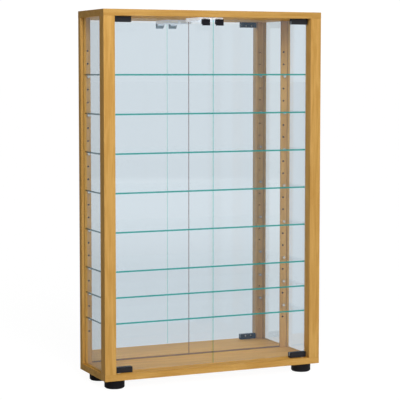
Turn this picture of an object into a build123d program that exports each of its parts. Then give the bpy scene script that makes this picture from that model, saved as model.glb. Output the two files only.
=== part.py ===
from build123d import *
import os

os.makedirs("parts", exist_ok=True)

# Glass display cabinet: a beech-finish frame with glass sides, a mirrored back, glass shelves on pins
# in drilled stiles, and two inset glass doors on pivot clamps, closed by push-to-open magnet latches.
# Millimetres, +Z up, the front towards -Y, and the origin on the floor under the middle.

# Carcass
cabinet_width = 588.0
cabinet_depth = 180.0
carcass_height = 900.0
board_thickness = 16.0
stile_width = 29.0
front_stile_depth = 28.0
back_stile_depth = 16.0
edge_chamfer = 0.4

# Side panes, in grooves of the boards and stiles
pane_thickness = 4.0
pane_inset = 7.0
pane_bite = 5.0
groove_side_play = 0.2
groove_end_play = 0.3

# Mirrors and the panel behind them, together in one groove
mirror_thickness = 3.0
mirror_lip = 2.0
mirror_bite = 4.0
mirror_joint_gap = 1.2
back_panel_thickness = 3.0

# Rows of shelf pin holes, and the pins
hole_pitch = 32.0
hole_end_space = 70.0
hole_diameter = 5.0
hole_depth = 9.0
hole_inset = 21.5
pin_play = 0.05
pin_shank_length = 8.5
pin_head_diameter = 7.0
pin_head_length = 7.5
pin_flat_height = 3.0

# Shelves, counted from the top: the upper ones a wide step apart and the lower ones a narrow step
shelf_thickness = 4.0
shelf_play = 1.5
free_top_holes = 2
wide_step_holes = 3
narrow_step_holes = 2
wide_step_count = 5
shelf_count = 8

# Door glass
glass_edge_chamfer = 0.5
door_thickness = 4.0
door_recess = 17.0
door_board_gap = 5.5
door_middle_gap = 3.0
door_stile_gap = 3.0
pivot_distance = 12.0

# Pivot clamps on the doors' outer corners
clamp_length = 46.5
clamp_height = 14.0
clamp_leaf = 2.6
clamp_corner_radius = 4.0
clamp_edge_chamfer = 0.6
clamp_stile_gap = 1.0
clamp_board_gap = 0.5
clamp_slot_play = 0.3
liner_thickness = 0.8
pressure_plate_thickness = 1.0
pressure_plate_margin = 1.0
grub_diameter = 4.0
grub_spacing = 16.0
grub_socket_diameter = 2.0
grub_socket_depth = 1.5
grub_play = 0.05
pivot_diameter = 5.0
pivot_play = 0.05
pivot_seat_depth = 4.0
pivot_reach = 9.0
pivot_lift_play = 0.2

# Bushes that the pivots turn in
bush_diameter = 8.0
bush_length = 10.0
bush_flange_diameter = 12.0
bush_play = 0.05
bush_end_play = 0.5

# Strike plates, clipped over the doors' top edges
strike_width = 21.3
strike_height = 15.6
strike_back_height = 12.0
strike_sheet = 1.0
strike_offset = 7.7
strike_corner_radius = 1.0

# Push-to-open latches under the top board
latch_width = 32.0
latch_length = 78.0
latch_height = 9.0
latch_corner_radius = 3.0
latch_edge_chamfer = 0.8
latch_gap = 0.3
latch_travel = 3.0
latch_stop_play = 0.5
latch_chamber_depth = 48.0
plunger_diameter = 6.4
plunger_play = 0.05
plunger_length = 34.0
plunger_bore_diameter = 4.8
plunger_bore_depth = 12.0
plunger_head_width = 15.0
plunger_head_height = 11.0
plunger_head_thickness = 3.5
plunger_head_radius = 1.5
magnet_diameter = 8.0
magnet_thickness = 2.5
magnet_play = 0.05
spring_diameter = 4.0
spring_wire = 0.6
spring_turns = 6
spring_wire_flats = 6
spring_end_play = 0.3

# Feet
foot_diameter = 50.0
foot_height = 22.0
foot_edge_chamfer = 3.0
foot_inset_side = 36.0
foot_inset_front = 32.0
foot_inset_back = 42.0
foot_counterbore_diameter = 11.0
foot_counterbore_depth = 12.0

# Dowels and screws
dowel_diameter = 6.0
dowel_length = 24.0
dowel_end_play = 0.5
dowel_chamfer = 0.6
fastener_play = 0.05
front_dowel_inset = 9.0
front_dowel_setback = 9.0
front_screw_inset = 19.0
front_screw_setback = 17.0
back_dowel_inset = 8.0
back_dowel_setback = 5.5
back_screw_inset = 18.0
back_screw_setback = 7.5
board_screw_diameter = 3.5
board_screw_length = 45.0
board_screw_head = 7.0
foot_screw_diameter = 4.0
foot_screw_length = 22.0
foot_screw_head = 8.0
latch_screw_diameter = 3.0
latch_screw_length = 18.0
latch_screw_head = 6.0
latch_screw_offset = 10.5
latch_screw_end = 11.0
screw_slot_width = 0.8
screw_slot_depth = 0.8

# Places that follow from the sizes
left = -cabinet_width / 2
front = -cabinet_depth / 2
back = cabinet_depth / 2
carcass_bottom = foot_height
inner_bottom = carcass_bottom + board_thickness
carcass_top = carcass_bottom + carcass_height
inner_top = carcass_top - board_thickness
stile_inner = left + stile_width
front_stile_back = front + front_stile_depth
back_stile_front = back - back_stile_depth

pane_outer = left + pane_inset
pane_inner = pane_outer + pane_thickness
mirror_front = back_stile_front + mirror_lip
mirror_back = mirror_front + mirror_thickness
panel_back = mirror_back + back_panel_thickness
mirror_side = stile_inner - mirror_bite

hole_x = left + hole_inset
hole_count = 1 + int((inner_top - inner_bottom - 2 * hole_end_space) // hole_pitch)
hole_row_length = (hole_count - 1) * hole_pitch
top_hole = (inner_top + inner_bottom + hole_row_length) / 2

door_front = front + door_recess
door_back = door_front + door_thickness
door_middle = (door_front + door_back) / 2
door_outer = stile_inner + door_stile_gap
door_inner = -door_middle_gap / 2
door_bottom = inner_bottom + door_board_gap
door_top = inner_top - door_board_gap

pivot_x = stile_inner + pivot_distance
clamp_outer = stile_inner + clamp_stile_gap
clamp_inner = clamp_outer + clamp_length
clamp_bottom = inner_bottom + clamp_board_gap
clamp_top = clamp_bottom + clamp_height
clamp_front = door_front - liner_thickness - clamp_leaf
slot_front = door_front - liner_thickness
slot_back = door_back + liner_thickness + pressure_plate_thickness
clamp_back = slot_back + clamp_leaf
grub_z = (door_bottom + clamp_top) / 2
grub_middle = (door_outer + clamp_inner) / 2

strike_right = -strike_offset
strike_left = strike_right - strike_width
strike_middle = (strike_left + strike_right) / 2
strike_top = door_top + strike_sheet
strike_back = door_back + strike_sheet

head_front = strike_back + latch_gap
head_back = head_front + plunger_head_thickness
latch_front = head_back + latch_travel + latch_stop_play
latch_back = latch_front + latch_length
latch_bottom = inner_top - latch_height
plunger_z = inner_top - latch_height / 2
head_top = plunger_z + plunger_diameter / 2
head_bottom = head_top - plunger_head_height
chamber_back = latch_front + latch_chamber_depth
plunger_back = head_back + plunger_length
spring_front = plunger_back - plunger_bore_depth + latch_travel + spring_end_play


def block(x0, x1, y0, y1, z0, z1):
    """A box between two corners."""
    middle = ((x0 + x1) / 2, (y0 + y1) / 2, (z0 + z1) / 2)
    return Pos(*middle) * Box(x1 - x0, y1 - y0, z1 - z0)


def post(x, y, z0, z1, diameter):
    """An upright cylinder from z0 to z1."""
    return Pos(x, y, (z0 + z1) / 2) * Cylinder(diameter / 2, z1 - z0)


def rod(x, z, y0, y1, diameter):
    """A cylinder that runs front to back, from y0 to y1."""
    return Pos(x, (y0 + y1) / 2, z) * Rot(90, 0, 0) * Cylinder(diameter / 2, y1 - y0)


def other_side(piece):
    """The same piece on the right-hand side."""
    return mirror(piece, Plane.YZ)


def upside_down(piece):
    """The same piece at the top of the doorway instead of the bottom."""
    return mirror(piece, Plane.XY.offset((inner_bottom + inner_top) / 2))


def gathered(pieces):
    """Separate solids that share one node."""
    return Compound(children=[solid for piece in pieces for solid in piece.solids()])


def both_sides(pieces):
    """Left-hand pieces with their right-hand copies."""
    return pieces + [other_side(piece) for piece in pieces]


def dowel_places():
    """Where the left-hand stiles are dowelled to the boards."""
    front_place = (left + front_dowel_inset, front + front_dowel_setback)
    back_place = (left + back_dowel_inset, back - back_dowel_setback)
    return [front_place, back_place]


def screw_places():
    """Where the left-hand stiles are screwed to the bottom board."""
    front_place = (left + front_screw_inset, front + front_screw_setback)
    back_place = (left + back_screw_inset, back - back_screw_setback)
    return [front_place, back_place]


def foot_places():
    """The middles of the left-hand feet."""
    foot_x = left + foot_inset_side
    return [(foot_x, front + foot_inset_front), (foot_x, back - foot_inset_back)]


def countersunk_screw(x, y, z_head, length, diameter, head, play=0.0):
    """A slotted countersunk screw that points up, or with play the hole that it fills."""
    head_depth = (head - diameter) / 2
    cone = Cone(head / 2 + play, diameter / 2 + play, head_depth)
    shank = post(x, y, z_head, z_head + length + play, diameter + 2 * play)
    screw = shank + Pos(x, y, z_head + head_depth / 2) * cone
    if play == 0.0:
        screw -= Pos(x, y, z_head) * Box(head, screw_slot_width, 2 * screw_slot_depth)
    return screw


def board_screw(place, play=0.0):
    return countersunk_screw(
        *place, carcass_bottom, board_screw_length, board_screw_diameter, board_screw_head, play
    )


def foot_screw(place, play=0.0):
    shoulder = foot_counterbore_depth
    return countersunk_screw(
        *place, shoulder, foot_screw_length, foot_screw_diameter, foot_screw_head, play
    )


def latch_screws(play=0.0):
    """The two screws of the left-hand latch, set across a diagonal beside the plunger's chamber."""
    places = [
        (strike_middle - latch_screw_offset, latch_front + latch_screw_end),
        (strike_middle + latch_screw_offset, latch_back - latch_screw_end),
    ]
    sizes = (latch_screw_length, latch_screw_diameter, latch_screw_head)
    return [countersunk_screw(x, y, latch_bottom, *sizes, play) for x, y in places]


def dowels(z):
    """Dowels across the joint at height z, left-hand side."""
    pegs = []
    for x, y in dowel_places():
        peg = post(x, y, z - dowel_length / 2, z + dowel_length / 2, dowel_diameter)
        pegs.append(chamfer(peg.edges().filter_by(GeomType.CIRCLE), dowel_chamfer))
    return pegs


def dowel_holes(z):
    reach = dowel_length / 2 + dowel_end_play
    size = dowel_diameter + 2 * fastener_play
    return [post(x, y, z - reach, z + reach, size) for x, y in dowel_places()]


def pane_space():
    """The groove outline of the left side pane, all round."""
    return block(
        pane_outer - groove_side_play,
        pane_inner + groove_side_play,
        front_stile_back - pane_bite - groove_end_play,
        back_stile_front + pane_bite + groove_end_play,
        inner_bottom - pane_bite,
        inner_top + pane_bite,
    )


def mirror_space():
    """The groove outline of the mirrors and the panel behind them."""
    reach = -mirror_side + groove_end_play
    return block(
        -reach,
        reach,
        mirror_front - groove_side_play,
        panel_back + groove_side_play,
        inner_bottom - pane_bite,
        inner_top + pane_bite,
    )


def softened(piece):
    """Long outer edges taken off by the edging's small chamfer."""
    return chamfer(piece.edges().group_by(SortBy.LENGTH)[-1], edge_chamfer)


def bush_hole():
    """The blind hole for the lower left bush in the bottom board."""
    depth = bush_length + bush_end_play
    return post(pivot_x, door_middle, inner_bottom - depth, inner_bottom, bush_diameter + 2 * bush_play)


def plain_board(z0, z1):
    board = softened(block(left, -left, front, back, z0, z1))
    return board - both_sides([pane_space()]) - [mirror_space()]


def bottom_board():
    board = plain_board(carcass_bottom, inner_bottom)
    holes = dowel_holes(inner_bottom) + [bush_hole()]
    holes += [board_screw(place, fastener_play) for place in screw_places()]
    holes += [foot_screw(place, fastener_play) for place in foot_places()]
    return board - both_sides(holes)


def top_board():
    board = plain_board(inner_top, carcass_top)
    holes = dowel_holes(inner_top) + [upside_down(bush_hole())]
    holes += latch_screws(fastener_play)
    return board - both_sides(holes)


def hole_heights():
    return [top_hole - hole_pitch * n for n in range(hole_count)]


def shelf_heights():
    """Heights of the pin holes that carry the shelves, from the top."""
    heights = []
    for n in range(shelf_count):
        wide = min(n, wide_step_count)
        narrow = n - wide
        hole = free_top_holes + wide_step_holes * wide + narrow_step_holes * narrow
        if hole < hole_count:
            heights.append(hole_heights()[hole])
    return heights


def front_stile():
    """Left front stile: grooved for the side pane and drilled from behind for the shelf pins."""
    stile = softened(block(left, stile_inner, front, front_stile_back, inner_bottom, inner_top))
    drilled = [
        rod(hole_x, z, front_stile_back - hole_depth, front_stile_back, hole_diameter)
        for z in hole_heights()
    ]
    joints = dowel_holes(inner_bottom) + dowel_holes(inner_top)
    joints += [board_screw(place, fastener_play) for place in screw_places()]
    return stile - [pane_space()] - drilled - joints


def back_stile():
    """Left back stile: grooved for pane and mirror and drilled from the front for the shelf pins."""
    stile = softened(block(left, stile_inner, back_stile_front, back, inner_bottom, inner_top))
    drilled = [
        rod(hole_x, z, back_stile_front, back_stile_front + hole_depth, hole_diameter)
        for z in hole_heights()
    ]
    joints = dowel_holes(inner_bottom) + dowel_holes(inner_top)
    joints += [board_screw(place, fastener_play) for place in screw_places()]
    return stile - [pane_space(), mirror_space()] - drilled - joints


def side_pane():
    """The pane stands on its lower groove and ends just short of the upper one."""
    return block(
        pane_outer,
        pane_inner,
        front_stile_back - pane_bite,
        back_stile_front + pane_bite,
        inner_bottom - pane_bite,
        inner_top + pane_bite - groove_end_play,
    )


def mirror_pane():
    """Left half of the mirrored back."""
    return block(
        mirror_side,
        -mirror_joint_gap / 2,
        mirror_front,
        mirror_back,
        inner_bottom - pane_bite,
        inner_top + pane_bite - groove_end_play,
    )


def back_panel():
    """One hardboard panel behind both mirrors."""
    return block(
        mirror_side,
        -mirror_side,
        mirror_back,
        panel_back,
        inner_bottom - pane_bite,
        inner_top + pane_bite - groove_end_play,
    )


def pin(z, face, way):
    """A shelf pin in the hole at height z of a stile's face; way is +1 if its head points backwards."""
    shank_span = sorted((face, face - way * pin_shank_length))
    head_span = sorted((face, face + way * pin_head_length))
    shank = rod(hole_x, z, *shank_span, hole_diameter - 2 * pin_play)
    head = rod(hole_x, z, *head_span, pin_head_diameter)
    above = block(
        hole_x - pin_head_diameter,
        hole_x + pin_head_diameter,
        *head_span,
        z + pin_flat_height,
        z + pin_head_diameter,
    )
    return shank + (head - above)


def shelf_pins():
    pins = []
    for z in shelf_heights():
        pins.append(pin(z, front_stile_back, 1))
        pins.append(pin(z, back_stile_front, -1))
    return gathered(both_sides(pins))


def shelf(z):
    """A glass shelf with ground edges, lying on the flats of its four pins."""
    side = pane_inner + shelf_play
    lower = z + pin_flat_height
    plate = block(
        side,
        -side,
        front_stile_back + shelf_play,
        back_stile_front - shelf_play,
        lower,
        lower + shelf_thickness,
    )
    return chamfer(plate.edges().filter_by(Axis.X), glass_edge_chamfer)


def door_glass():
    """Left door: one plain sheet, all edges ground."""
    sheet = block(door_outer, door_inner, door_front, door_back, door_bottom, door_top)
    return chamfer(sheet.edges().filter_by(Axis.Z), glass_edge_chamfer)


def clamp_body():
    """Lower left pivot clamp: a channel over the glass's bottom edge, rounded where it passes the stile."""
    body = block(clamp_outer, clamp_inner, clamp_front, clamp_back, clamp_bottom, clamp_top)
    outer_edges = body.edges().filter_by(Axis.Z).group_by(Axis.X)[0]
    body = fillet(outer_edges, clamp_corner_radius)
    rim = body.faces().sort_by(Axis.Z)[-1].edges()
    body = chamfer(rim, clamp_edge_chamfer)
    slot = block(
        door_outer - clamp_slot_play,
        clamp_inner,
        slot_front,
        slot_back,
        door_bottom,
        clamp_top,
    )
    body -= slot
    for x in grub_xs():
        body -= rod(x, grub_z, slot_back, clamp_back, grub_diameter + 2 * grub_play)
    seat_top = clamp_bottom + pivot_seat_depth
    return body - post(pivot_x, door_middle, clamp_bottom, seat_top, pivot_diameter)


def grub_xs():
    return [grub_middle - grub_spacing / 2, grub_middle + grub_spacing / 2]


def liner(y0):
    """A thin pad between the clamp and one face of the glass."""
    return block(
        door_outer,
        clamp_inner - pressure_plate_margin,
        y0,
        y0 + liner_thickness,
        door_bottom,
        clamp_top - pressure_plate_margin,
    )


def clamp_liners():
    """The pads in the lower left clamp, in front of the glass and behind it."""
    return [liner(slot_front), liner(door_back)]


def pressure_plate():
    """The steel plate that the grub screws push against the glass."""
    return block(
        door_outer,
        clamp_inner - pressure_plate_margin,
        door_back + liner_thickness,
        slot_back,
        door_bottom,
        clamp_top - pressure_plate_margin,
    )


def grub_screws():
    """The lower left clamp's two grub screws, with a socket in the end that faces the inside."""
    screws = []
    for x in grub_xs():
        screw = rod(x, grub_z, slot_back, clamp_back, grub_diameter)
        socket = rod(x, grub_z, clamp_back - grub_socket_depth, clamp_back, grub_socket_diameter)
        screws.append(screw - socket)
    return screws


def pivot_pin():
    """Lower left pivot, set in the clamp's foot and reaching down into the bush."""
    return post(
        pivot_x,
        door_middle,
        inner_bottom - pivot_reach,
        clamp_bottom + pivot_seat_depth,
        pivot_diameter,
    )


def bush(flange):
    """A flanged bush in the bottom board; the flange carries the clamp."""
    sleeve = post(pivot_x, door_middle, inner_bottom - bush_length, inner_bottom, bush_diameter)
    collar = post(pivot_x, door_middle, inner_bottom, inner_bottom + flange, bush_flange_diameter)
    bore = pivot_diameter + 2 * pivot_play
    return sleeve + collar - post(
        pivot_x, door_middle, inner_bottom - bush_length, inner_bottom + flange, bore
    )


def pivot_bushes():
    """The lower flanges bear the doors and the upper ones leave a little lift."""
    lower = bush(clamp_board_gap)
    upper = upside_down(bush(clamp_board_gap - pivot_lift_play))
    return gathered(both_sides([lower, upper]))


def strike_plate():
    """Left strike plate: one folded strip over the glass's top edge, longer in front."""
    outer = block(
        strike_left,
        strike_right,
        door_front - strike_sheet,
        strike_back,
        strike_top - strike_height,
        strike_top,
    )
    corners = outer.edges().filter_by(Axis.Y).group_by(Axis.Z)[0]
    outer = fillet(corners, strike_corner_radius)
    glass = block(
        strike_left, strike_right, door_front, door_back, strike_top - strike_height, door_top
    )
    short_leg = block(
        strike_left,
        strike_right,
        door_back,
        strike_back,
        strike_top - strike_height,
        strike_top - strike_back_height,
    )
    return outer - glass - short_leg


def latch_housing():
    """Left latch: a flat housing, screwed to the top board, with the plunger's chamber along it."""
    housing = block(
        strike_middle - latch_width / 2,
        strike_middle + latch_width / 2,
        latch_front,
        latch_back,
        latch_bottom,
        inner_top,
    )
    housing = fillet(housing.edges().filter_by(Axis.Z), latch_corner_radius)
    housing = chamfer(housing.faces().sort_by(Axis.Z)[0].edges(), latch_edge_chamfer)
    chamber = rod(
        strike_middle, plunger_z, latch_front, chamber_back, plunger_diameter + 2 * plunger_play
    )
    return housing - chamber - latch_screws(fastener_play)


def magnet(play=0.0):
    """The left plunger's magnet, or with play its pocket."""
    return rod(
        strike_middle,
        (head_top + head_bottom) / 2,
        head_front,
        head_front + magnet_thickness,
        magnet_diameter + 2 * play,
    )


def plunger():
    """Left plunger: a broad magnet head on a hollow shaft that holds the spring."""
    head = block(
        strike_middle - plunger_head_width / 2,
        strike_middle + plunger_head_width / 2,
        head_front,
        head_back,
        head_bottom,
        head_top,
    )
    head = fillet(head.edges().filter_by(Axis.Y), plunger_head_radius) - magnet(magnet_play)
    shaft = rod(strike_middle, plunger_z, head_back, plunger_back, plunger_diameter)
    bore = rod(
        strike_middle,
        plunger_z,
        plunger_back - plunger_bore_depth,
        plunger_back,
        plunger_bore_diameter,
    )
    return head + shaft - bore


def spring():
    """Left latch spring, at its length with the plunger pushed in, seated on the chamber's end.

    The wire is drawn with flats instead of round, which keeps this hidden piece light.
    """
    length = chamber_back - spring_front - spring_wire
    coil_radius = (spring_diameter - spring_wire) / 2
    coil = Helix(length / spring_turns, length, coil_radius)
    section = Plane(coil @ 0, z_dir=coil % 0) * RegularPolygon(spring_wire / 2, spring_wire_flats)
    wire = sweep(section, path=coil, is_frenet=True)
    start = Pos(strike_middle, chamber_back - spring_wire / 2, plunger_z)
    return start * Rot(90, 0, 0) * wire


def foot(place):
    """A moulded plastic glide, drawn in at its lower edge and counterbored for its screw."""
    x, y = place
    disc = post(x, y, 0, foot_height, foot_diameter)
    disc = chamfer(disc.edges().filter_by(GeomType.CIRCLE).sort_by(Axis.Z)[0], foot_edge_chamfer)
    disc -= post(x, y, 0, foot_counterbore_depth, foot_counterbore_diameter)
    return disc - foot_screw(place, fastener_play)


def carcass_dowels():
    return gathered(both_sides(dowels(inner_bottom) + dowels(inner_top)))


def carcass_screws():
    return gathered(both_sides([board_screw(place) for place in screw_places()]))


def foot_screws():
    return gathered(both_sides([foot_screw(place) for place in foot_places()]))


nodes = {
    "top_board": top_board(),
    "bottom_board": bottom_board(),
    "back_panel": back_panel(),
    "shelf_pins": shelf_pins(),
    "pivot_bushes": pivot_bushes(),
    "carcass_dowels": carcass_dowels(),
    "carcass_screws": carcass_screws(),
    "foot_screws": foot_screws(),
    "latch_screws": gathered(both_sides(latch_screws())),
    "latch_springs": gathered(both_sides([spring()])),
}

left_hand = {
    "front_stile": front_stile(),
    "back_stile": back_stile(),
    "side_pane": side_pane(),
    "mirror": mirror_pane(),
    "foot_front": foot(foot_places()[0]),
    "foot_back": foot(foot_places()[1]),
    "door_glass": door_glass(),
    "lower_clamp": clamp_body(),
    "upper_clamp": upside_down(clamp_body()),
    "lower_pressure_plate": pressure_plate(),
    "upper_pressure_plate": upside_down(pressure_plate()),
    "clamp_liners": gathered(clamp_liners() + [upside_down(p) for p in clamp_liners()]),
    "grub_screws": gathered(grub_screws() + [upside_down(p) for p in grub_screws()]),
    "pivot_pins": gathered([pivot_pin(), upside_down(pivot_pin())]),
    "strike_plate": strike_plate(),
    "latch_housing": latch_housing(),
    "latch_plunger": plunger(),
    "latch_magnet": magnet(),
}
for name, piece in left_hand.items():
    nodes[name + "_left"] = piece
    nodes[name + "_right"] = other_side(piece)

for number, height in enumerate(shelf_heights(), start=1):
    nodes["shelf_%d" % number] = shelf(height)

for name, piece in nodes.items():
    export_step(piece, "parts/" + name + ".step")
print(len(nodes), "nodes")
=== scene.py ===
import math

import bpy
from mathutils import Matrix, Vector


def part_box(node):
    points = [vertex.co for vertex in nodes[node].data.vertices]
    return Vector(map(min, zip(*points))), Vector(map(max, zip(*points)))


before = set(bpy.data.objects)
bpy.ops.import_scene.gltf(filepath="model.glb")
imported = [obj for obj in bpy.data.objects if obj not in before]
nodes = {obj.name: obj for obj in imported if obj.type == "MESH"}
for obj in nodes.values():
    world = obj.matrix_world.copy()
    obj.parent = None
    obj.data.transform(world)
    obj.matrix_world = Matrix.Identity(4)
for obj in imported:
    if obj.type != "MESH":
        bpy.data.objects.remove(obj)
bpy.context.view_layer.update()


# Bottom and top boards: 16 mm chipboard wrapped in a beech-look foil whose grain runs along the
# length of the board. The printed grain is broad warm streaks, fine straight fibres and the short
# dark dashes that beech has. Both boards are dowelled to the stiles.
board_pale = (0.675, 0.395, 0.116)
board_deep = (0.520, 0.270, 0.060)
# The two paler colours below are painted light, for the face of a board that looks up or down.
painted_light_pale = (0.900, 0.490, 0.098)
painted_light_deep = (0.700, 0.340, 0.052)
painted_light_face = 0.9
top_tone = 0.92
bottom_print = 0.31
top_print = 1.74
print_slant = 1.7
foil_shine = 0.06
foil_relief = 0.25
foil_relief_depth = 0.0002
grain_turn = {"X": (0.0, math.radians(-90), 0.0), "Z": (0.0, 0.0, 0.0)}

# Each kind of streak is given by how fine it is across and along the grain, per metre, by the
# noise's detail and distortion, and by the span of the noise in which it shows.
broad_streaks = (95.0, 7.5, 2.0, 0.6, 0.34, 0.66)
middle_streaks = (330.0, 16.0, 3.0, 0.3, 0.32, 0.68)
fibre_streaks = (1500.0, 34.0, 2.0, 0.0, 0.30, 0.70)
dash_streaks = (1150.0, 190.0, 1.0, 0.0, 0.60, 0.72)
broad_share = 0.55
middle_share = 0.30
fibre_share = 0.15
dash_share = 0.187
dash_brown = (0.12, 0.045, 0.012)
fibre_height = 0.4
foil_roughness = 0.46
streak_roughness = 0.10


def feed(tree, socket, value):
    """Sets a socket to a plain value, or links another socket to it. Colours have three numbers."""
    if isinstance(value, bpy.types.NodeSocket):
        tree.links.new(value, socket)
    elif socket.type == "RGBA":
        socket.default_value = value + (1.0,)
    else:
        socket.default_value = value


def shade(tree, kind, **sockets):
    """A shader node, with values or links for the sockets that are named."""
    node = tree.nodes.new("ShaderNode" + kind)
    for name, value in sockets.items():
        feed(tree, node.inputs[name], value)
    return node


def maths(tree, operation, *values):
    """The result of a Math node."""
    node = tree.nodes.new("ShaderNodeMath")
    node.operation = operation
    for socket, value in zip(node.inputs, values):
        feed(tree, socket, value)
    return node.outputs[0]


def vector_maths(tree, operation, *values):
    """The outputs of a Vector Math node."""
    node = tree.nodes.new("ShaderNodeVectorMath")
    node.operation = operation
    for socket, value in zip(node.inputs, values):
        feed(tree, socket, value)
    return node.outputs


def ramp(tree, value, low, high, to_low=0.0, to_high=1.0):
    """The value mapped smoothly from low..high to another span, and clamped."""
    node = tree.nodes.new("ShaderNodeMapRange")
    node.interpolation_type = "SMOOTHSTEP"
    feed(tree, node.inputs["Value"], value)
    feed(tree, node.inputs["From Min"], low)
    feed(tree, node.inputs["From Max"], high)
    feed(tree, node.inputs["To Min"], to_low)
    feed(tree, node.inputs["To Max"], to_high)
    return node.outputs["Result"]


def blend_colours(tree, share, a, b, how="MIX"):
    """A colour between a and b. The Mix node has a set of sockets for each kind of data."""
    node = tree.nodes.new("ShaderNodeMix")
    node.data_type = "RGBA"
    node.blend_type = how
    sockets = {socket.identifier: socket for socket in node.inputs}
    feed(tree, sockets["Factor_Float"], share)
    feed(tree, sockets["A_Color"], a)
    feed(tree, sockets["B_Color"], b)
    return next(socket for socket in node.outputs if socket.identifier == "Result_Color")


def noise(tree, place, scale, detail, roughness=0.5, distortion=0.0):
    """Noise between 0 and 1 over a place, with its scale per metre."""
    node = shade(tree, "TexNoise", Vector=place, Scale=scale, Detail=detail)
    feed(tree, node.inputs["Roughness"], roughness)
    feed(tree, node.inputs["Distortion"], distortion)
    return node.outputs["Fac"]


def new_group(name, inputs, outputs):
    """An empty shader group. Its sockets are given as name and kind."""
    group = bpy.data.node_groups.new(name, "ShaderNodeTree")
    for label, kind in inputs:
        group.interface.new_socket(label, in_out="INPUT", socket_type="NodeSocket" + kind)
    for label, kind in outputs:
        group.interface.new_socket(label, in_out="OUTPUT", socket_type="NodeSocket" + kind)
    given = group.nodes.new("NodeGroupInput").outputs
    return group, given, group.nodes.new("NodeGroupOutput").inputs


def use_group(tree, group, **sockets):
    """The outputs of a shader group, with values or links for the sockets that are named."""
    node = tree.nodes.new("ShaderNodeGroup")
    node.node_tree = group
    for name, value in sockets.items():
        feed(tree, node.inputs[name], value)
    return node.outputs


def beech_group():
    """Printed beech grain. The Vector's Z runs along the grain, in metres, and each Piece number
    shows another stretch of the print."""
    tree, given, result = new_group(
        "beech_print",
        (("Vector", "Vector"), ("Pale", "Color"), ("Deep", "Color"), ("Piece", "Float")),
        (("Color", "Color"), ("Height", "Float"), ("Gloss", "Float")),
    )
    slant = maths(tree, "MULTIPLY", given["Piece"], print_slant)
    start = shade(tree, "CombineXYZ", X=given["Piece"], Y=slant).outputs[0]
    moved = vector_maths(tree, "ADD", given["Vector"], start)[0]

    def streaks(across, along, detail, distortion, low, high):
        stretched = shade(tree, "Mapping", Vector=moved, Scale=(across, across, along)).outputs[0]
        streaked = noise(tree, stretched, 1.0, detail, distortion=distortion)
        return ramp(tree, streaked, low, high)

    broad = streaks(*broad_streaks)
    middle = streaks(*middle_streaks)
    fibre = streaks(*fibre_streaks)
    dashes = streaks(*dash_streaks)
    share = maths(tree, "MULTIPLY", middle, middle_share)
    share = maths(tree, "MULTIPLY_ADD", broad, broad_share, share)
    share = maths(tree, "MULTIPLY_ADD", fibre, fibre_share, share)
    colour = blend_colours(tree, share, given["Deep"], given["Pale"])
    dash = maths(tree, "MULTIPLY", dashes, dash_share)
    feed(tree, result["Color"], blend_colours(tree, dash, colour, dash_brown))
    ridges = maths(tree, "MULTIPLY", fibre, fibre_height)
    feed(tree, result["Height"], maths(tree, "SUBTRACT", ridges, dashes))
    gloss = maths(tree, "MULTIPLY_ADD", middle, streak_roughness, foil_roughness)
    feed(tree, result["Gloss"], gloss)
    return tree


beech_print = beech_group()


def new_material(name):
    material = bpy.data.materials.new(name)
    material.use_nodes = True
    return material, material.node_tree


def paint(tree, **sockets):
    """Values or links for the material's Principled shader. An underscore stands for a space."""
    surface = tree.nodes["Principled BSDF"]
    for name, value in sockets.items():
        feed(tree, surface.inputs[name.replace("_", " ")], value)


def object_place(tree):
    """Coordinates that stay with the piece when it moves: the row frame, in metres."""
    return shade(tree, "TexCoord").outputs["Object"]


def face_normal(tree):
    """The direction that the face looks in, which also stays with the piece."""
    return shade(tree, "TexCoord").outputs["Normal"]


def axes(tree, vector):
    """A vector's X, Y and Z."""
    return shade(tree, "SeparateXYZ", Vector=vector).outputs


def bump(tree, height, strength, distance):
    """A bumpy normal, from a height between 0 and 1 and the depth that it stands for."""
    return shade(tree, "Bump", Strength=strength, Distance=distance, Height=height).outputs[0]


def beech(name, grain, piece, painted_light=0.0, tone=1.0):
    """Beech-look foil with its grain along one axis. A painted-light number of 1 paints the face
    that looks up paler, as painted light from above, and -1 paints the face that looks down paler,
    as painted light from below. The tone is for the other faces."""
    material, tree = new_material(name)
    turned = shade(tree, "Mapping", Vector=object_place(tree), Rotation=grain_turn[grain])
    pale = tuple(part * tone for part in board_pale)
    deep = tuple(part * tone for part in board_deep)
    # Painted light: the face that looks up or down gets the paler print.
    if painted_light:
        facing = maths(tree, "MULTIPLY", axes(tree, face_normal(tree))["Z"], painted_light)
        facing = maths(tree, "GREATER_THAN", facing, painted_light_face)
        pale = blend_colours(tree, facing, pale, painted_light_pale)
        deep = blend_colours(tree, facing, deep, painted_light_deep)
    grained = use_group(
        tree, beech_print, Vector=turned.outputs[0], Pale=pale, Deep=deep, Piece=piece
    )
    paint(
        tree,
        Base_Color=grained["Color"],
        Roughness=grained["Gloss"],
        Specular_IOR_Level=foil_shine,
        Normal=bump(tree, grained["Height"], foil_relief, foil_relief_depth),
    )
    return material


def finish(node, material):
    """The node's CAD object takes the material on all its faces."""
    piece = nodes[node]
    piece.data.materials.clear()
    piece.data.materials.append(material)


finish("bottom_board", beech("bottom_board_foil", "X", bottom_print, painted_light=1.0))
finish("top_board", beech("top_board_foil", "X", top_print, painted_light=-1.0, tone=top_tone))


# Stiles: the four uprights, of the same foiled chipboard with the grain upright. Pane grooves and
# rows of shelf pin holes are cut into them, so that raw chipboard shows only inside the holes. It
# is seen in the holes of the back stiles, which open towards the front, and is painted far darker
# than raw chipboard, as painted shade inside the holes.
stile_print = {
    "front_stile_left": 2.9,
    "front_stile_right": 4.3,
    "back_stile_left": 5.6,
    "back_stile_right": 7.2,
}
# The hole colour is raw chipboard darkened well past its own tone: painted shade inside the holes.
raw_chipboard_and_hole_shade = (0.055, 0.030, 0.014)
foil_depth = 0.0003
hole_row = 0.2725
hole_reach = 0.003


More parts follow.
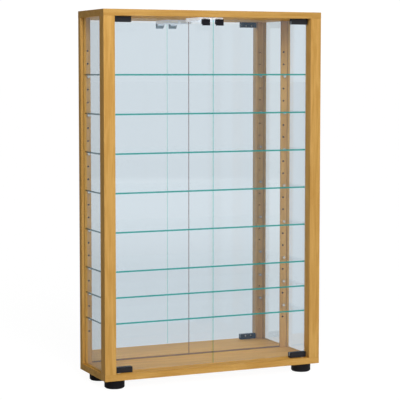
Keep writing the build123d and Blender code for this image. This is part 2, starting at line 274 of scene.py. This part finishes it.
def hole_group():
    """Shows where the row of holes is, between the foils of a stile's front and back. The Middle
    and the Reach give the depths that lie between them."""
    tree, given, result = new_group(
        "drilled_row",
        (("Vector", "Vector"), ("Middle", "Float"), ("Reach", "Float")),
        (("Raw", "Float"),),
    )
    place = axes(tree, given["Vector"])
    from_middle = maths(tree, "ABSOLUTE", place["X"])
    in_row = maths(tree, "COMPARE", from_middle, hole_row, hole_reach)
    inside = maths(tree, "COMPARE", place["Y"], given["Middle"], given["Reach"])
    feed(tree, result["Raw"], maths(tree, "MULTIPLY", in_row, inside))
    return tree


drilled_row = hole_group()


def painted(tree):
    """The socket that the material's colour comes from now."""
    return tree.nodes["Principled BSDF"].inputs["Base Color"].links[0].from_socket


def bored(material, box):
    """Adds raw chipboard, darkened as painted shade, in the holes of the stile that has this box.
    """
    tree = material.node_tree
    middle = (box[0][1] + box[1][1]) / 2
    reach = box[1][1] - middle - foil_depth
    holes = use_group(tree, drilled_row, Vector=object_place(tree), Middle=middle, Reach=reach)
    paint(tree, Base_Color=blend_colours(tree, holes["Raw"], painted(tree), raw_chipboard_and_hole_shade))
    return material


for stile, piece in stile_print.items():
    foil = beech(stile + "_foil", "Z", piece)
    finish(stile, bored(foil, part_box(stile)) if "back" in stile else foil)


# Dowels and carcass screws: fluted raw beech pegs glued across the joints, and zinc-plated
# countersunk screws driven up through the bottom board. Only the screw heads show, from below.
dowel_pale = (0.62, 0.43, 0.24)
dowel_deep = (0.5, 0.33, 0.17)
dowel_fibres = (1400.0, 1400.0, 90.0)
dowel_detail = 2.0
dowel_roughness = 0.7
zinc_pale = (0.62, 0.62, 0.60)
zinc_deep = (0.42, 0.42, 0.42)
zinc_span = (0.35, 0.65)
zinc_roughness = (0.28, 0.46)

# A noise is given by its scale and its detail, and by its roughness where that isn't the usual
# one. Most of its values lie in this span.
zinc_cloud = (900.0, 3.0)
noise_span = (0.3, 0.7)


def zinc(name):
    """Zinc-plated steel: a cloudy, slightly uneven plating."""
    material, tree = new_material(name)
    cloud = noise(tree, object_place(tree), *zinc_cloud)
    paint(
        tree,
        Base_Color=blend_colours(tree, ramp(tree, cloud, *zinc_span), zinc_deep, zinc_pale),
        Roughness=ramp(tree, cloud, *noise_span, *zinc_roughness),
        Metallic=1.0,
    )
    return material


def raw_beech(name):
    """Raw beech, with its fibres upright."""
    material, tree = new_material(name)
    stretched = shade(tree, "Mapping", Vector=object_place(tree), Scale=dowel_fibres).outputs[0]
    fibres = noise(tree, stretched, 1.0, dowel_detail)
    paint(
        tree,
        Base_Color=blend_colours(tree, fibres, dowel_deep, dowel_pale),
        Roughness=dowel_roughness,
    )
    return material


steel = zinc("zinc_plated_steel")
finish("carcass_dowels", raw_beech("dowel_beech"))
finish("carcass_screws", steel)


# Feet: four black moulded glides, 50 mm across, each held by one screw up its counterbore.
# The plastic has a fine satin grain, and its lower edge is rounded.
foot_black = (0.010, 0.009, 0.011)
foot_shine = 0.10
foot_roughness = 0.42
plastic_grain = (1800.0, 2.0)
plastic_cloud = (45.0, 2.0)
plastic_relief = 0.3
plastic_relief_depth = 0.00006
plastic_unevenness = 0.05

# The paler tone of a finish is its colour times the gain, plus the lift.
plastic_gain = 1.12
plastic_lift = 0.002


def plastic_group():
    """The fine spark-eroded grain of a mould, with a faintly cloudy colour and gloss."""
    tree, given, result = new_group(
        "moulded_grain",
        (("Vector", "Vector"), ("Plain", "Color"), ("Paler", "Color"), ("Roughness", "Float")),
        (("Color", "Color"), ("Roughness", "Float"), ("Height", "Float")),
    )
    cloud = noise(tree, given["Vector"], *plastic_cloud)
    feed(tree, result["Color"], blend_colours(tree, cloud, given["Plain"], given["Paler"]))
    smoother = maths(tree, "SUBTRACT", given["Roughness"], plastic_unevenness)
    rougher = maths(tree, "ADD", given["Roughness"], plastic_unevenness)
    feed(tree, result["Roughness"], ramp(tree, cloud, *noise_span, smoother, rougher))
    feed(tree, result["Height"], noise(tree, given["Vector"], *plastic_grain))
    return tree


moulded_grain = plastic_group()


def moulded(name, colour, roughness, shine=0.5):
    """Moulded plastic in one colour."""
    material, tree = new_material(name)
    paler = tuple(min(1.0, part * plastic_gain + plastic_lift) for part in colour)
    plastic = use_group(
        tree,
        moulded_grain,
        Vector=object_place(tree),
        Plain=colour,
        Paler=paler,
        Roughness=roughness,
    )
    paint(
        tree,
        Base_Color=plastic["Color"],
        Roughness=plastic["Roughness"],
        Specular_IOR_Level=shine,
        Normal=bump(tree, plastic["Height"], plastic_relief, plastic_relief_depth),
    )
    return material


foot_plastic = moulded("foot_plastic", foot_black, foot_roughness, foot_shine)
for corner in ("front_left", "front_right", "back_left", "back_right"):
    finish("foot_" + corner, foot_plastic)
finish("foot_screws", steel)


# Side panes: 4 mm clear float glass, held in grooves of the stiles and boards on all four edges.
# Clear sheet with the faint green that float glass has, deep green where a cut edge shows.
glass_clear = (0.93, 0.972, 0.99)
glass_edge = (0.13, 0.46, 0.42)
glass_bend = 1.5
face_passes = (0.975, 0.98, 0.98)
sheet_face = 0.9
deep_glass = 8.5


def sheet_group():
    """Glass sheet colours: clear on the two faces, green on the cut edges between them."""
    tree, given, result = new_group(
        "glass_sheet",
        (("Normal", "Vector"), ("Across", "Vector"), ("Clear", "Color"), ("Edge", "Color")),
        (("Color", "Color"), ("Edge Share", "Float")),
    )
    facing = vector_maths(tree, "DOT_PRODUCT", given["Normal"], given["Across"])["Value"]
    edge = maths(tree, "LESS_THAN", maths(tree, "ABSOLUTE", facing), sheet_face)
    feed(tree, result["Color"], blend_colours(tree, edge, given["Clear"], given["Edge"]))
    feed(tree, result["Edge Share"], edge)
    return tree


glass_sheet = sheet_group()


def mix_shaders(tree, share, a, b):
    """A shader between a and b."""
    node = tree.nodes.new("ShaderNodeMixShader")
    for socket, value in zip(node.inputs, (share, a, b)):
        feed(tree, socket, value)
    return node.outputs[0]


def show(tree, shader):
    """Makes a shader the material's surface."""
    feed(tree, tree.nodes["Material Output"].inputs["Surface"], shader)


def float_glass(name, across, clear, edge, bend):
    """Clear glass sheet that lets lamp light and stray light through to what is behind it. So does
    a sheet behind several others, because a ray has only so many turns."""
    material, tree = new_material(name)
    normal = face_normal(tree)
    sheet = use_group(tree, glass_sheet, Normal=normal, Across=across, Clear=clear, Edge=edge)
    paint(tree, Base_Color=sheet["Color"], Roughness=0.0, IOR=bend, Transmission_Weight=1.0)
    open_glass = shade(tree, "BsdfTransparent", Color=face_passes).outputs[0]
    path = shade(tree, "LightPath").outputs
    deep = maths(tree, "GREATER_THAN", path["Transmission Depth"], deep_glass)
    shown = tree.nodes["Principled BSDF"].outputs[0]
    for passing in (path["Is Diffuse Ray"], path["Is Shadow Ray"], deep):
        shown = mix_shaders(tree, passing, shown, open_glass)
    show(tree, shown)
    return material


side_glass = float_glass("side_pane_glass", (1.0, 0.0, 0.0), glass_clear, glass_edge, glass_bend)
for side in ("left", "right"):
    finish("side_pane_" + side, side_glass)


# Back panel: one sheet of 3 mm hardboard behind the mirrors, in the same groove. Its brown face
# shows from behind, and as a thin dark line where the two mirrors meet.
hardboard_pale = (0.30, 0.185, 0.10)
hardboard_deep = (0.19, 0.11, 0.055)
hardboard_felt = (420.0, 6.0, 0.7)
hardboard_cloud = (14.0, 3.0)
felt_share = 0.7
hardboard_roughness = 0.78
hardboard_relief = 0.4
hardboard_relief_depth = 0.0002


def hardboard(name):
    """Pressed wood fibre: a felt of fine fibres with wide, faint clouds."""
    material, tree = new_material(name)
    place = object_place(tree)
    felt = noise(tree, place, *hardboard_felt)
    share = maths(tree, "MULTIPLY", noise(tree, place, *hardboard_cloud), 1.0 - felt_share)
    share = maths(tree, "MULTIPLY_ADD", felt, felt_share, share)
    share = ramp(tree, share, *noise_span)
    paint(
        tree,
        Base_Color=blend_colours(tree, share, hardboard_deep, hardboard_pale),
        Roughness=hardboard_roughness,
        Normal=bump(tree, felt, hardboard_relief, hardboard_relief_depth),
    )
    return material


finish("back_panel", hardboard("hardboard_brown"))


# Mirrors: two 3 mm silvered sheets side by side in front of the panel, with a narrow joint between
# them. The cut edges are dark, and a dark border just over the bottom board is painted shade along
# the crease where mirror and board meet.
mirror_silver = (0.935, 0.950, 0.955)
mirror_edge = (0.085, 0.055, 0.028)
mirror_foot_shade = (0.23, 0.14, 0.065)
mirror_foot_shade_height = 0.0042
mirror_foot_shade_roughness = 0.6
mirror_shine = 0.2
mirror_rim = (0.80, 0.69, 0.66)
mirror_rim_reach = 0.0015


def silvered(name):
    """Silvered glass. A dark strip at the bottom is painted shade along the crease with the board,
    and it is warmer in a thin rim along the joint.
    """
    material, tree = new_material(name)
    sheet = use_group(
        tree,
        glass_sheet,
        Normal=face_normal(tree),
        Across=(0.0, 1.0, 0.0),
        Clear=mirror_silver,
        Edge=mirror_edge,
    )
    place = axes(tree, object_place(tree))
    board_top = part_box("bottom_board")[1][2]
    # Painted shade: a dark, unmetallic strip along the foot of the mirror.
    bare_face_and_foot_shade = maths(tree, "LESS_THAN", place["Z"], board_top + mirror_foot_shade_height)
    dark = maths(tree, "MAXIMUM", bare_face_and_foot_shade, sheet["Edge Share"])
    rim = maths(tree, "LESS_THAN", maths(tree, "ABSOLUTE", place["X"]), mirror_rim_reach)
    rim = maths(tree, "MULTIPLY", rim, maths(tree, "SUBTRACT", 1.0, sheet["Edge Share"]))
    colour = blend_colours(tree, rim, sheet["Color"], mirror_rim)
    paint(
        tree,
        Base_Color=blend_colours(tree, bare_face_and_foot_shade, colour, mirror_foot_shade),
        Metallic=maths(tree, "SUBTRACT", 1.0, dark),
        Roughness=maths(tree, "MULTIPLY", dark, mirror_foot_shade_roughness),
        Specular_IOR_Level=mirror_shine,
    )
    return material


silver = silvered("silvered_glass")
for side in ("left", "right"):
    finish("mirror_" + side, silver)


# Latches: two pale moulded push-to-open latches, each screwed under the top board. A spring pushes
# the plunger out, and the magnet in its head holds the door by the strike plate.
latch_white = (0.86, 0.90, 0.98)
latch_roughness = 0.45
# The housings glow faintly: painted light that makes the pale plastic look brighter.
latch_painted_light = (0.80, 0.88, 1.0)
latch_painted_light_strength = 0.42
latch_mirrored_share = 0.45

# The turns of a ray are whole numbers, so half a turn tells none from one.
half_turn = 0.5


def is_mirrored(tree):
    """1 where the piece is seen in a reflection."""
    return maths(tree, "GREATER_THAN", shade(tree, "LightPath").outputs["Glossy Depth"], half_turn)


def latch_moulding(name):
    """Pale plastic with a faint painted glow, which is painted light and shows less in the mirror.
    """
    material = moulded(name, latch_white, latch_roughness)
    tree = material.node_tree
    weaker = maths(tree, "MULTIPLY", is_mirrored(tree), 1.0 - latch_mirrored_share)
    glow = blend_colours(tree, weaker, latch_painted_light, (0.0, 0.0, 0.0))
    paint(tree, Emission_Color=glow, Emission_Strength=latch_painted_light_strength)
    return material


latch_plastic = latch_moulding("latch_plastic")
for side in ("left", "right"):
    finish("latch_housing_" + side, latch_plastic)
    finish("latch_plunger_" + side, latch_plastic)
    finish("latch_magnet_" + side, steel)
finish("latch_screws", steel)
finish("latch_springs", steel)


# Shelf pins: nickel-plated pins with a flat on top, four under each shelf, pushed into the rows
# of holes in the stiles.
nickel_colour = (0.78, 0.77, 0.74)
nickel_tarnish = 0.8
nickel_cloud = (1200.0, 2.0)
nickel_roughness = (0.16, 0.30)


def nickel(name):
    """Nickel plate, faintly tarnished in clouds."""
    material, tree = new_material(name)
    cloud = noise(tree, object_place(tree), *nickel_cloud)
    tarnished = tuple(part * nickel_tarnish for part in nickel_colour)
    paint(
        tree,
        Base_Color=blend_colours(tree, cloud, tarnished, nickel_colour),
        Roughness=ramp(tree, cloud, *noise_span, *nickel_roughness),
        Metallic=1.0,
    )
    return material


finish("shelf_pins", nickel("pin_nickel_plate"))


# Shelves: eight plates of 4 mm float glass with ground edges, loose on their pins. Their faces
# are clear, and the long path through the glass makes the edges a deep teal.
shelf_edge = (0.001, 0.029, 0.029)
shelf_edge_painted_glow = (0.0, 0.205, 0.165)
shelf_end = (0.015, 0.045, 0.05)
shelf_clear = (0.985, 0.995, 0.995)
shelf_sheen = 0.25
cut_face = 0.5

# With no bend the glass has no reflection of its own, so that the sheen is the coat's alone.
no_bend = 1.0


def shelf_sheet(name):
    """Shelf glass. Its cut edges look green from outside only, and a mirror shows them clear. The
    long ones have a faint glow, which is painted light."""
    across = (0.0, 0.0, 1.0)
    material = float_glass(name, across, shelf_clear, shelf_edge, no_bend)
    tree = material.node_tree
    inside = shade(tree, "NewGeometry").outputs["Backfacing"]
    direct = maths(tree, "SUBTRACT", 1.0, is_mirrored(tree))
    shown = maths(tree, "MULTIPLY", direct, maths(tree, "SUBTRACT", 1.0, inside))
    normal = axes(tree, face_normal(tree))
    end = maths(tree, "GREATER_THAN", maths(tree, "ABSOLUTE", normal["X"]), cut_face)
    long_edge = maths(tree, "GREATER_THAN", maths(tree, "ABSOLUTE", normal["Y"]), cut_face)
    cut = blend_colours(tree, end, painted(tree), shelf_end)
    # Painted light: the long cut edges glow.
    painted_light = maths(tree, "MULTIPLY", shown, long_edge)
    paint(
        tree,
        Base_Color=blend_colours(tree, shown, shelf_clear, cut),
        Coat_Weight=shelf_sheen,
        Coat_Roughness=0.0,
        Emission_Color=blend_colours(tree, painted_light, (0.0, 0.0, 0.0), shelf_edge_painted_glow),
        Emission_Strength=1.0,
    )
    return material


shelf_glass = shelf_sheet("shelf_glass")
for node in sorted(nodes):
    if node.startswith("shelf_") and node != "shelf_pins":
        finish(node, shelf_glass)


# Door pivots: steel pins fixed in the clamps, turning in flanged nylon bushes that are pressed
# into the bottom and top boards.
bush_white = (0.76, 0.74, 0.68)
bush_roughness = 0.5
finish("pivot_bushes", moulded("bush_nylon", bush_white, bush_roughness))
for side in ("left", "right"):
    finish("pivot_pins_" + side, steel)


# Doors: two plain sheets of 4 mm float glass with ground edges, set in between the stiles. They
# swing on pivot clamps and have no frame and no handle.
door_edge = (0.12, 0.62, 0.55)
door_edge_hidden = 0.15
door_clear = (0.918, 0.950, 0.964)
door_sheen = 0.7
# The veil below is a painted reflection: a faint bluish glow on both faces of the glass.
door_painted_reflection = (0.002, 0.010, 0.020)


def door_sheet(name):
    """Door glass with a faint bluish glow, a painted reflection of the studio on the glass. Its cut
    edges look green from outside the sheet, and a little paler in the mirror."""
    across = (0.0, 1.0, 0.0)
    material = float_glass(name, across, door_clear, door_edge, no_bend)
    tree = material.node_tree
    paler = maths(tree, "MULTIPLY", is_mirrored(tree), door_edge_hidden)
    inside = shade(tree, "NewGeometry").outputs["Backfacing"]
    hidden = maths(tree, "MAXIMUM", inside, paler)
    paint(
        tree,
        Base_Color=blend_colours(tree, hidden, painted(tree), door_clear),
        Coat_Weight=door_sheen,
        Coat_Roughness=0.0,
        Emission_Color=door_painted_reflection,
        Emission_Strength=1.0,
    )
    return material


door_glass = door_sheet("door_glass")
for side in ("left", "right"):
    finish("door_glass_" + side, door_glass)


# Pivot clamps: black powder-coated channels over the doors' outer corners. Soft clear pads line
# them, and two grub screws press a steel plate against the glass.
clamp_black = (0.010, 0.011, 0.015)
clamp_shine = 0.25
coat_peel = (1500.0, 1.0)
coat_relief = 0.35
coat_relief_depth = 0.00008
coat_roughness = 0.38
coat_gain = 1.5
coat_lift = 0.004
pad_grey = (0.45, 0.47, 0.48)
pad_roughness = 0.5


def coat_group():
    """The orange-peel texture of a satin powder coat, which is paler where it is high."""
    tree, given, result = new_group(
        "powder_coat_peel",
        (("Vector", "Vector"), ("Plain", "Color"), ("Paler", "Color")),
        (("Color", "Color"), ("Height", "Float")),
    )
    peel = noise(tree, given["Vector"], *coat_peel)
    feed(tree, result["Color"], blend_colours(tree, peel, given["Plain"], given["Paler"]))
    feed(tree, result["Height"], peel)
    return tree


powder_coat_peel = coat_group()


def powder_coat(name, colour, shine):
    """Satin powder coat in one colour."""
    material, tree = new_material(name)
    paler = tuple(part * coat_gain + coat_lift for part in colour)
    place = object_place(tree)
    coat = use_group(tree, powder_coat_peel, Vector=place, Plain=colour, Paler=paler)
    paint(
        tree,
        Base_Color=coat["Color"],
        Roughness=coat_roughness,
        Specular_IOR_Level=shine,
        Normal=bump(tree, coat["Height"], coat_relief, coat_relief_depth),
    )
    return material


black_coat = powder_coat("black_powder_coat", clamp_black, clamp_shine)
pad = moulded("clear_pad", pad_grey, pad_roughness)
for side in ("left", "right"):
    for end in ("lower", "upper"):
        finish(end + "_clamp_" + side, black_coat)
        finish(end + "_pressure_plate_" + side, steel)
    finish("clamp_liners_" + side, pad)
    finish("grub_screws_" + side, steel)


# Strike plates: thin steel strips folded over the top edges of the doors, where the latch magnets
# take hold. They are coated black, apart from the bare plated face behind the glass.
strike_black = (0.008, 0.008, 0.012)
strike_shine = 0.08
strike_bare = (0.46, 0.54, 0.57)
strike_back_face = 0.7
strike_fold_depth = 0.0026


def strike_finish(name):
    """Black coat that leaves the face behind the glass bare, from below the fold."""
    material = powder_coat(name, strike_black, strike_shine)
    tree = material.node_tree
    behind = maths(tree, "GREATER_THAN", axes(tree, face_normal(tree))["Y"], strike_back_face)
    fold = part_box("strike_plate_left")[1][2] - strike_fold_depth
    below_fold = maths(tree, "LESS_THAN", axes(tree, object_place(tree))["Z"], fold)
    bare_face_and_foot_shade = maths(tree, "MULTIPLY", behind, below_fold)
    paint(tree, Base_Color=blend_colours(tree, bare_face_and_foot_shade, painted(tree), strike_bare))
    return material


strike_coat = strike_finish("strike_plate_coat")
for side in ("left", "right"):
    finish("strike_plate_" + side, strike_coat)


# Stage: a plain pale floor in a white studio. The background shows as white, while reflections show
# the studio as it is: bright in front on the right, dimmer behind and on the left. Soft light comes
# from the front and from above it, and some from behind.
floor_colour = (0.93, 0.93, 0.93)
floor_size = 200.0
floor_roughness = 0.9
floor_glow_share = 0.85
mirrored_glow_share = 0.97
floor_eye = 0.5
floor_white = (1.12, 1.12, 1.12)
wall_white = (1.03, 1.03, 1.03)
behind_glass = (0.755, 0.77, 0.79)

# What a reflection shows depends on its direction. The spans say how far it points to the bright
# side, or how far it rises, and the shares how bright the floor and the wall are there.
studio_bright = (0.855, 0.850, 0.845)
studio_dim = (0.30, 0.31, 0.33)
bright_side = (0.45, -0.89, 0.0)
bright_span = (-0.2, 0.75)
floor_span = (-0.30, -0.085)
floor_shares = (0.83, 0.985)
horizon_span = (-0.075, -0.069)
wall_foot_span = (-0.057, -0.050)
wall_shares = (0.915, 0.935)

# A soft light is given by its level, by how narrow it is and by where it comes from.
front_light = (3.45, 8.0, Vector((0.0, -0.985, 0.174)).normalized())
high_light = (0.80, 12.0, Vector((-0.153, -0.870, 0.469)).normalized())
back_light = (0.76, 3.0, Vector((0.60, 0.68, 0.42)).normalized())
lamp_place = (-0.5, -1.1, 1.5)
lamp_target = (0.28, -0.08, 0.75)
lamp_width = 0.6
lamp_power = 7.5


def along(tree, direction, way):
    """How far a direction points one way, from -1 to 1."""
    unit = vector_maths(tree, "NORMALIZE", direction)[0]
    return vector_maths(tree, "DOT_PRODUCT", unit, way)["Value"]


def studio_group():
    """What a reflection shows in each direction from the cabinet."""
    tree, given, result = new_group("studio_view", (("Vector", "Vector"),), (("Color", "Color"),))
    rise = along(tree, given["Vector"], (0.0, 0.0, 1.0))
    level = shade(tree, "Mapping", Vector=given["Vector"], Scale=(1.0, 1.0, 0.0)).outputs[0]
    share = ramp(tree, along(tree, level, bright_side), *bright_span)
    colour = blend_colours(tree, share, studio_dim, studio_bright)
    floor_light = ramp(tree, rise, *floor_span, *floor_shares)
    wall_light = ramp(tree, rise, *wall_foot_span, *wall_shares)
    light = blend_colours(tree, ramp(tree, rise, *horizon_span), floor_light, wall_light)
    feed(tree, result["Color"], blend_colours(tree, 1.0, colour, light, "MULTIPLY"))
    return tree


studio_view = studio_group()


def seen_share(tree):
    """1 for rays that show the stage itself, also in a mirror or through glass."""
    path = shade(tree, "LightPath").outputs
    seen = maths(tree, "MAXIMUM", path["Is Camera Ray"], path["Is Glossy Ray"])
    seen = maths(tree, "MAXIMUM", seen, path["Is Transmission Ray"])
    unspread = maths(tree, "LESS_THAN", path["Diffuse Depth"], half_turn)
    return maths(tree, "MULTIPLY", seen, unspread)


def seen_colour(tree, direction, white):
    """White where the stage is seen directly, less through glass, the studio in a reflection."""
    path = shade(tree, "LightPath").outputs
    through = maths(tree, "GREATER_THAN", path["Transmission Depth"], half_turn)
    colour = blend_colours(tree, through, white, behind_glass)
    reflected = use_group(tree, studio_view, Vector=direction)["Color"]
    return blend_colours(tree, is_mirrored(tree), colour, reflected)


def floor_paint(name):
    """Pale paint that shows soft shadows. Where it is seen, most of it is the studio's own white.
    The reflected studio's directions start at about half the cabinet's height."""
    material, tree = new_material(name)
    paint(tree, Base_Color=floor_colour, Roughness=floor_roughness, Specular_IOR_Level=0.0)
    lit_paint = tree.nodes["Principled BSDF"].outputs[0]
    below_eye = (0.0, 0.0, -floor_eye)
    from_eye = shade(tree, "Mapping", Vector=object_place(tree), Location=below_eye).outputs[0]
    glow = shade(tree, "Emission", Color=seen_colour(tree, from_eye, floor_white)).outputs[0]
    shares = (floor_glow_share, mirrored_glow_share)
    glow_share = ramp(tree, is_mirrored(tree), 0.0, 1.0, *shares)
    share = maths(tree, "MULTIPLY", seen_share(tree), glow_share)
    show(tree, mix_shaders(tree, share, lit_paint, glow))
    return material


half = floor_size / 2
floor_corners = [(-half, -half, 0), (half, -half, 0), (half, half, 0), (-half, half, 0)]
floor_mesh = bpy.data.meshes.new("studio_floor")
floor_mesh.from_pydata(floor_corners, [], [(0, 1, 2, 3)])
floor_mesh.materials.append(floor_paint("studio_floor_paint"))
floor = bpy.data.objects.new("studio_floor", floor_mesh)
bpy.context.scene.collection.objects.link(floor)

world = bpy.data.worlds.new("studio")
bpy.context.scene.world = world
world.use_nodes = True
sky = world.node_tree
sky_way = shade(sky, "TexCoord").outputs["Generated"]


def soft_light(level, narrowness, way):
    """Light from the sky that is brightest one way and fades to none at a right angle to it."""
    facing = maths(sky, "MAXIMUM", along(sky, sky_way, way), 0.0)
    return maths(sky, "MULTIPLY", maths(sky, "POWER", facing, narrowness), level)


sky_light = maths(sky, "ADD", soft_light(*front_light), soft_light(*high_light))
sky_light = maths(sky, "ADD", sky_light, soft_light(*back_light))
sky_seen = seen_colour(sky, sky_way, wall_white)
dome = next(node for node in sky.nodes if node.type == "BACKGROUND")
feed(sky, dome.inputs["Color"], blend_colours(sky, seen_share(sky), sky_light, sky_seen))
feed(sky, dome.inputs["Strength"], 1.0)


def soft_box(name, place, target, width, power):
    """A square soft box. Reflections don't show it, because the studio round it is their view."""
    lamp = bpy.data.lights.new(name, "AREA")
    lamp.shape = "SQUARE"
    lamp.size = width
    lamp.energy = power
    holder = bpy.data.objects.new(name, lamp)
    holder.location = place
    way = Vector(place) - Vector(target)
    holder.rotation_euler = way.to_track_quat("Z", "Y").to_euler()
    holder.visible_camera = False
    holder.visible_glossy = False
    holder.visible_transmission = False
    bpy.context.scene.collection.objects.link(holder)


soft_box("side_soft_box", lamp_place, lamp_target, lamp_width, lamp_power)


# Camera: at the photograph's place and heading, from the left and a little above. It is tipped
# down, and a small shift puts the cabinet where the photograph has it.
camera_place = (-1.5394, -3.4372, 0.7715)
camera_heading = math.radians(24.095)
camera_tilt = math.radians(-4.601)
camera_drop = 8.0
camera_reach = 200.0
sensor_width = 36.0
focal_pixels = 1490.5
frame_pixels = 400.0

camera_data = bpy.data.cameras.new("photo_camera")
camera_data.sensor_width = sensor_width
camera_data.lens = sensor_width * focal_pixels / frame_pixels
camera_data.shift_y = -camera_drop / frame_pixels
camera_data.clip_end = camera_reach
camera = bpy.data.objects.new("photo_camera", camera_data)
camera.location = camera_place
camera.rotation_euler = (math.radians(90) + camera_tilt, 0.0, -camera_heading)
bpy.context.scene.collection.objects.link(camera)
bpy.context.scene.camera = camera
bpy.context.scene.view_settings.view_transform = "Standard"
